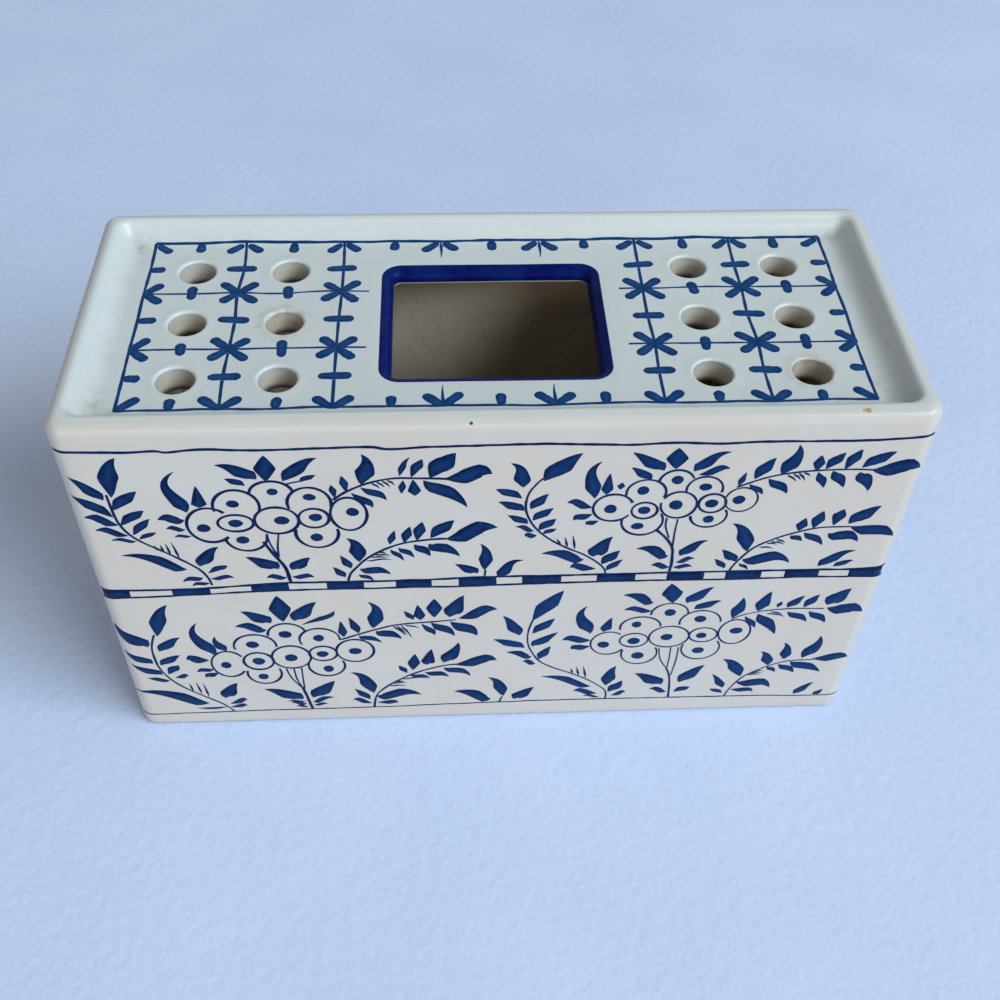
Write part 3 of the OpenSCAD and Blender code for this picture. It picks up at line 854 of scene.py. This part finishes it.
# The lower frieze's right half: the last one brushed, with the least colour left, so that its lines
# come out thin and its leaves pale.
lower_right = {"stems": [
    (.6, (31.6, 7), (31.4, 11), (29, 14), (25, 17.5), (20.5, 20.5), (16, 23), (12.2, 26), (10, 30),
     (8.7, 34), (8.5, 38.5), (9, 42), (9.8, 45)),
    (.45, (44.5, 30.7), (45.3, 26), (47.5, 21.5)), (.45, (47.7, 31), (47.8, 26), (47.7, 21.8)),
    (.45, (49.8, 31), (49.8, 25), (49.2, 18)), (.8, (47.5, 21.5), (48.6, 18.5), (49.3, 14), (49.7, 7)),
    (.6, (62.5, 43), (65, 44.6), (68.5, 45.8), (72.5, 46.6), (79, 47), (86.5, 46.7)),
    (.6, (65.8, 7), (67, 11), (69.5, 15.8), (73, 19), (77, 21.6), (81, 23.3), (86, 23.7), (89, 24)),
], "leaves": [
    (9.6, 44.5, 17.1, 56.6, 3.8, .5, .3), (6.3, 38, 1.8, 46.6, 3, .3, -.5),
    (7.8, 32.4, -.6, 36.4, 2.6, .4, -.4), (9.9, 28.1, 3, 30.4, 2.2, .35, -.4), (11, 25, 7.5, 26.1, 1.7),
    (9.8, 38.7, 15.4, 45, 2.6, .45, .2), (9.8, 33, 16.5, 38.9, 2.6, .3, .2),
    (11.8, 27, 14.8, 32.7, 2.3, .4), (27, 13.5, 13, 18.7, 2.5, .35, -.8), (29, 10, 22.3, 11.5, 2, .6),
    (29.8, 8.2, 25.2, 9, 1), (31.2, 13.8, 33.5, 22.9, 3.2, .35, .6),
    (32.2, 10.6, 35.6, 15.9, 2.6, .45, -.2), (33.2, 8.8, 37.1, 10.4, 1.6, .65),
    (45.8, 50.6, 44.7, 58.5, 4.3), (40.8, 51, 32.7, 54.2, 2.9, .3, -.6),
    (49.6, 50.4, 55.8, 56.8, 3, .3, .4), (40.8, 47.4, 33.4, 48, 2), (52, 47.6, 58.6, 51, 2.4, .35),
    (25.2, 38.2, 23.6, 49.9, 3.2, .3, 2), (28.8, 38.8, 30.5, 44.8, 2.4, .25),
    (25.5, 35.2, 17.9, 35.4, 2.6, .55), (25.5, 32.5, 20.5, 31.2, 2.2, .65),
    (47, 13.6, 39, 19.2, 3.6, .3, -.6), (51.8, 14.4, 58.2, 22.3, 3.4, .35, .5),
    (48.8, 10, 43.8, 11.6, 1.9, .45), (51, 9.8, 55.3, 12, 2, .55), (62.6, 43.5, 64.3, 52, 2.8, .4, -.4),
    (69, 46.2, 71.3, 54.3, 3, .35), (73.9, 47.6, 74.8, 50, 1.1), (76.6, 47.5, 80.4, 52.2, 2.2, .35),
    (81, 47.4, 84.2, 52.6, 2.2, .45), (87, 48.2, 92.1, 54.8, 4, .35), (87.3, 47, 97, 45, 3.8),
    (66, 44, 69.3, 39, 1.6), (69.3, 45, 75.2, 36, 3, .35), (77, 45.6, 82.8, 41.2, 2.1, .45),
    (82.8, 45.6, 87.9, 40.7, 2.2, .45), (69, 16.6, 63, 24.8, 3.3, .4, -1.3),
    (76, 21.6, 73.2, 28, 2.7, .35, -.8), (80, 24.3, 78.9, 31.8, 2.6, .3, -.8),
    (85, 24.6, 88.2, 34.6, 3.2, .35, -1), (88, 24.3, 97.8, 24.3, 3, .6), (76, 20.8, 78.5, 18.2, 1.4, .4),
    (79, 21.8, 83.8, 17.8, 2.1, .45), (82, 23, 91.3, 18, 2.9, .4, .3), (64.8, 11.2, 61, 17.7, 2, .3, -.4),
    (65, 8.6, 61.2, 10.7, 1.5), (68.3, 13.8, 78.3, 10.8, 3.2, .5, 1.4), (67.3, 10.3, 73.8, 9, 1.9, .6),
    (86, 7.2, 90.7, 12.8, 2.2, .3, .4), (92, 6.6, 94.1, 9.2, 1.6, .3),
], "hairs": [
    (21.5, 20, 20.9, 22.3), (23.3, 18.9, 22.4, 22.9), (25.3, 17.8, 24.3, 23.2), (72.5, 46, 75.8, 44.3),
    (71.5, 45.3, 76.5, 43.4), (72, 18.6, 75.3, 18.7), (71.2, 17.9, 75, 17.8), (70.8, 17.2, 74.6, 17),
], "rings": [
    (45.6, 46, 4.9, 4.4, 0, 185), (38.4, 40.6, 5.4, 4.3, 0, 195), (54.2, 42, 5.5, 5, 0, 190),
    (30.4, 33.6, 4.8, 5, 50, 325), (37.2, 34.7, 3.8, 3), (46.6, 35.9, 5.4, 4.6), (55.8, 36.4, 3.8, 3.1),
    (64.1, 37.4, 4.3, 5.3), (39.2, 28.7, 4.9, 4.8, 160, 390), (55.8, 30.5, 5.2, 5.1, 160, 395),
], "dots": [
    (45.7, 46.5, 1.5, 1.5), (37.3, 41.7, 1.3, 1.3), (54.1, 43.4, 1.6, 1.4), (29.1, 33, 1.6, 1.4),
    (37.2, 34.4, 1.7, 1.4), (46, 35.8, 1.6, 1.4), (55.3, 36.2, 1.4, 1.2), (64.5, 37.9, 1.7, 1.3),
    (38.9, 27.7, 1.7, 1.5), (55.4, 29.4, 1.6, 1.4),
]}

# Lines and checkered band: one thin cobalt line under the rim, one above the foot, and two lines with
# blocks of colour between them round the middle, all brushed freehand before the plants.
LEAST_RUN = 2
BLOCK_STEPS = 10
BLOCK_GAP = 0.05
BLOCK_DEPTH = 0.4
BLOCK_POOL = 0.05
top_line = [
    (-99, 109), (-98.5, 108.3), (-85, 108.5), (-77, 108.8), (-74, 108.3), (-67, 109.1), (-55, 108.6),
    (-45, 108.7), (-30, 109.1), (-25, 108.3), (-15, 108.8), (0, 108.9), (10, 109), (20, 108.6),
    (30, 108.2), (40, 108.6), (50, 108.1), (60, 108.4), (80, 108.3), (90, 108.6), (98, 108.4),
    (98.8, 109.4),
]
foot_line = [
    (-99, 5.2), (-80, 5.6), (-60, 6), (-35, 6.1), (-20, 6.4), (0, 6.9), (20, 7.3), (50, 7), (75, 6.8),
    (86, 6.3), (98.5, 6.4),
]
band_top = [
    (-98.5, 60.6), (-85, 60.4), (-72, 60.7), (-62, 61.5), (-52, 62.1), (-45, 62), (-20, 62.1), (-10, 62.6),
    (0, 62.9), (20, 62.8), (50, 63), (80, 62.8), (90, 62.7), (98.6, 63.4),
]
band_foot = [
    (-98.8, 57.4), (-85, 57.8), (-73, 58.3), (-62, 58.9), (-50, 59.2), (-10, 59.3), (0, 59.6), (20, 59.9),
    (40, 60), (60, 59.8), (80, 60), (98.6, 59.5),
]
blocks = [
    (-98.8, -92), (-81.5, -72), (-61.7, -52.3), (-42.8, -33.5), (-25.5, -16.5), (-9.7, -0.2), (6.3, 16.2),
    (25.2, 35), (43, 52.5), (58, 67.2), (73.2, 82), (89.8, 98.3),
]


def height_on(line, across):
    across = min(max(across, line[0][0]), line[-1][0])
    for (x0, y0), (x1, y1) in zip(line, line[1:]):
        if across <= x1:
            return y0 + (y1 - y0) * (across - x0) / (x1 - x0)


def draw_bands(drawing, left, right):
    """The lines and the checkers, on the part of the wall between left and right."""
    for line, width in ((top_line, 0.7), (foot_line, 0.42), (band_top, 0.7), (band_foot, 0.62)):
        kept = [point for point in line if left + LEAST_RUN < point[0] < right - LEAST_RUN]
        knots = [(left, height_on(line, left)), *kept, (right, height_on(line, right))]
        draw_line(drawing, knots, width, pace=0.8)
    for start, end in blocks:
        start = max(start, left)
        end = min(end, right)
        if end - start < LEAST_RUN:
            continue
        stations = []
        for step in range(BLOCK_STEPS + 1):
            across = start + (end - start) * step / BLOCK_STEPS
            low = height_on(band_foot, across)
            high = height_on(band_top, across)
            depth = BLOCK_DEPTH + BLOCK_POOL * abs(step - BLOCK_STEPS // 2)
            stations.append((across, (low + high) / 2, (high - low) / 2 - BLOCK_GAP, depth))
        lay_strip(drawing, stations)


LOADS = ((upper_left, 1), (upper_right, 0.85), (lower_left, 0.85), (lower_right, 0.65))
FRONT_SPAN = (-99, 98.8)
for side, turn in (("front", 0), ("back", 180)):
    drawing = new_drawing(wall_place(turn, HALF_X))
    draw_bands(drawing, *FRONT_SPAN)
    for frieze, load in LOADS:
        drawing["load"] = load
        draw_frieze(drawing, **frieze)
    finish_drawing("painting_" + side, drawing, cobalt)

# Painting on the ends: one repeat of each frieze in the same cobalt, brushed narrower to fit between
# the corners, with the lines and the checkered band carried across.
END_SHIFT = 44
END_SQUEEZE = 0.7
END_SPAN = (-98, 10)
for side, turn in (("right_end", 90), ("left_end", 270)):
    drawing = new_drawing(wall_place(turn, HALF_Y, END_SHIFT, END_SQUEEZE))
    draw_bands(drawing, *END_SPAN)
    for frieze in (upper_left, lower_left):
        draw_frieze(drawing, **frieze)
    finish_drawing("painting_" + side, drawing, cobalt)

# Painting on the top: a ruled outline and grid round the stem holes, a four-petalled star at each
# crossing, and single dabs between them, brushed in a thinner wash of the same cobalt.
WASH_DEEP = (0.003, 0.035, 0.14, 1)
WASH_THIN = (0.014, 0.082, 0.235, 1)
COLUMNS = (-86.7, -63.3, -37.8, 38.4, 63.5, 87.7)
ROWS = (32.9, 11.9, -9.9, -31)
SPRIG_X = (-12.6, 13.2)
HOLE_DAB_X = (-74.8, -50.8, 51, 75.2)
MIDDLE_DAB_X = (-24.5, 0.7, 24.9)
HOLE_DAB_Y = (21.7, 1.1, -20)
MIDDLE_EDGE = (-30.8, 32.3)
DAB = 2.5
DAB_STEPS = 12
DAB_SHOULDER = 0.6
DAB_WAVER = 0.16
DAB_LEAST = 0.05
DAB_DEPTH = 0.4
DAB_POOL = 0.4
EDGE_DAB = 3.8
SIDE_DAB = 4.2
GRID_DAB = (3.9, 2.7)
STAR_REACH = (4.5, 3.9)
STAR_PART = 0.6
STAR_CROSS = 0.2
SPRIG = 7
RULED_PACE = 11
SLIP_RATE = 0.7


def deck_place(across, along, lift):
    """Puts a point of the drawing on the top plate, or on the rim's hollow beside it."""
    inset = min(HALF_X - abs(across), HALF_Y - abs(along))
    climb = min(max(rim_foot - inset, 0), HOLLOW_R - COAT)
    z = DECK_Z + HOLLOW_R - math.sqrt((HOLLOW_R - COAT) ** 2 - climb ** 2)
    point = Vector((across, along, z))
    return point + Vector((0, 0, swell(point) + lift))


def by_hand(x, y, slip=0.9):
    """The place that the brush really came to, a little beside the one that was meant."""
    aside = noise.noise(Vector((x * SLIP_RATE, y * SLIP_RATE, 2)))
    along = noise.noise(Vector((x * SLIP_RATE, y * SLIP_RATE, 8)))
    return Vector((x + slip * aside, y + slip * along))


def draw_dab(drawing, base, tip, waist):
    """A short, blunt stroke, narrower where the brush was set down."""
    length = (tip - base).length
    stations = []
    for step in range(DAB_STEPS + 1):
        t = (1 - math.cos(math.pi * step / DAB_STEPS)) / 2
        point = base.lerp(tip, t)
        end = min(1, min(t, 1 - t) * length / (DAB / 2))
        spread = waist + (1 - waist) * min(1, t / DAB_SHOULDER)
        half = DAB / 2 * math.sqrt(1 - (1 - end) ** 2) * spread
        waver = 1 + DAB_WAVER * noise.noise(Vector((point.x, point.y, 5)))
        depth = DAB_DEPTH + DAB_POOL * abs(2 * t - 1)
        stations.append((point.x, point.y, max(half * waver, DAB_LEAST), depth))
    lay_strip(drawing, stations)


def draw_star(drawing, x, y):
    """Petals towards the four quarters, as far as they stay inside the outline.
    They part in the middle on the back row and cross on the others."""
    apart = STAR_PART if y == ROWS[0] else -STAR_CROSS
    for side_x in (-1, 1):
        for side_y in (-1, 1):
            base = Vector((x + apart * side_x, y + apart * side_y))
            tip = by_hand(x + STAR_REACH[0] * side_x, y + STAR_REACH[1] * side_y)
            if COLUMNS[0] < tip.x < COLUMNS[-1] and ROWS[-1] < tip.y < ROWS[0]:
                draw_dab(drawing, base, tip, waist=0.65)


def draw_ruled(drawing, start, end, width):
    start = Vector(start)
    end = Vector(end)
    steps = round((end - start).length / RULED_PACE)
    knots = [by_hand(*start.lerp(end, step / steps), slip=0.7) for step in range(1, steps)]
    draw_line(drawing, [start, *knots, end], width)


drawing = new_drawing(deck_place)
for x in COLUMNS:
    draw_ruled(drawing, (x, ROWS[0]), (x, ROWS[-1]), width=0.7)
for y in (ROWS[0], ROWS[-1]):
    draw_ruled(drawing, (COLUMNS[0], y), (COLUMNS[-1], y), width=0.75)
for y in ROWS[1:-1]:
    draw_ruled(drawing, (COLUMNS[0], y), (MIDDLE_EDGE[0], y), width=0.6)
    draw_ruled(drawing, (MIDDLE_EDGE[1], y), (COLUMNS[-1], y), width=0.6)
for x in COLUMNS:
    for y in ROWS:
        draw_star(drawing, x, y)
for y, inward in ((ROWS[0], -1), (ROWS[-1], 1)):
    for x in SPRIG_X:
        draw_star(drawing, x, y)
        draw_leaf(drawing, x, y, x, y + SPRIG * inward, width=0.6, widest=0.3, bow=0.15, depth=0.8)
    for x in HOLE_DAB_X + MIDDLE_DAB_X:
        draw_dab(drawing, Vector((x, y)), by_hand(x, y + EDGE_DAB * inward), waist=0.8)
for x, inward in ((COLUMNS[0], 1), (COLUMNS[-1], -1)):
    for y in HOLE_DAB_Y:
        draw_dab(drawing, Vector((x, y)), by_hand(x + SIDE_DAB * inward, y), waist=0.8)
for x in COLUMNS[1:-1]:
    for y in HOLE_DAB_Y:
        draw_dab(drawing, by_hand(x - GRID_DAB[0], y), by_hand(x + GRID_DAB[0], y), waist=0.85)
for x in HOLE_DAB_X:
    for y in ROWS[1:-1]:
        draw_dab(drawing, by_hand(x, y - GRID_DAB[1]), by_hand(x, y + GRID_DAB[1]), waist=0.85)
wash = brushed_paint("brushed_wash", WASH_THIN, WASH_DEEP)
finish_drawing("painting_top", drawing, wash)

# Mouth's border: a band of strong blue, brushed over the rolled lip and part of the way down inside,
# and sunk into the glaze in the firing like the rest of the painting.
LIP_BLUE_DEEP = (0.0004, 0.004, 0.085, 1)
LIP_BLUE_THIN = (0.002, 0.018, 0.15, 1)
LIP_BLUE_FOOT = 108.3
LIP_BLUE_OVER = 0.07
LIP_BLUE_UNDER = 0.1
LIP_BLUE_DEPTH = 0.7
LIP_BLUE_POOL = 0.3
LIP_BLUE_RATE = 0.1
band_places = [lip_place(MOUTH_LIP_R, angle) for angle in (3, 8, 16, 26, 38, 50, 62, 74, 85, 90)]
band_places.append((-COAT, (LIP_BLUE_FOOT + DECK_Z - MOUTH_LIP_R) / 2))
band_places.append((-COAT, LIP_BLUE_FOOT))
band_points = []
band_faces = []
join_rings(band_points, band_faces, [mouth_ring(*place) for place in band_places])
sheet = new_piece("mouth_border", band_points, band_faces, cobalt)
outward = [(point, vertex.normal.copy()) for point, vertex in zip(band_points, sheet.data.vertices)]
bpy.data.objects.remove(sheet)
count = len(band_points)
around = len(mouth_ring(0, 0))
lifted = [point + normal * (swell(point) + LIP_BLUE_OVER) for point, normal in outward]
sunk = [point + normal * (swell(point) - LIP_BLUE_UNDER) for point, normal in outward]
under = [tuple(corner + count for corner in reversed(face)) for face in band_faces]
sides = faces_between(range(count, count + around), range(around))
sides += faces_between(range(count - around, count), range(2 * count - around, 2 * count))
drawing = new_drawing(None)
drawing["points"] = lifted + sunk
drawing["faces"] = band_faces + under + sides
for point in drawing["points"]:
    drawing["cover"].append(1)
    pool = LIP_BLUE_POOL * noise.noise(point * LIP_BLUE_RATE)
    drawing["depth"].append(LIP_BLUE_DEPTH + pool)
lip_blue = brushed_paint("strong_lip_blue", LIP_BLUE_THIN, LIP_BLUE_DEEP)
finish_drawing("mouth_border", drawing, lip_blue)
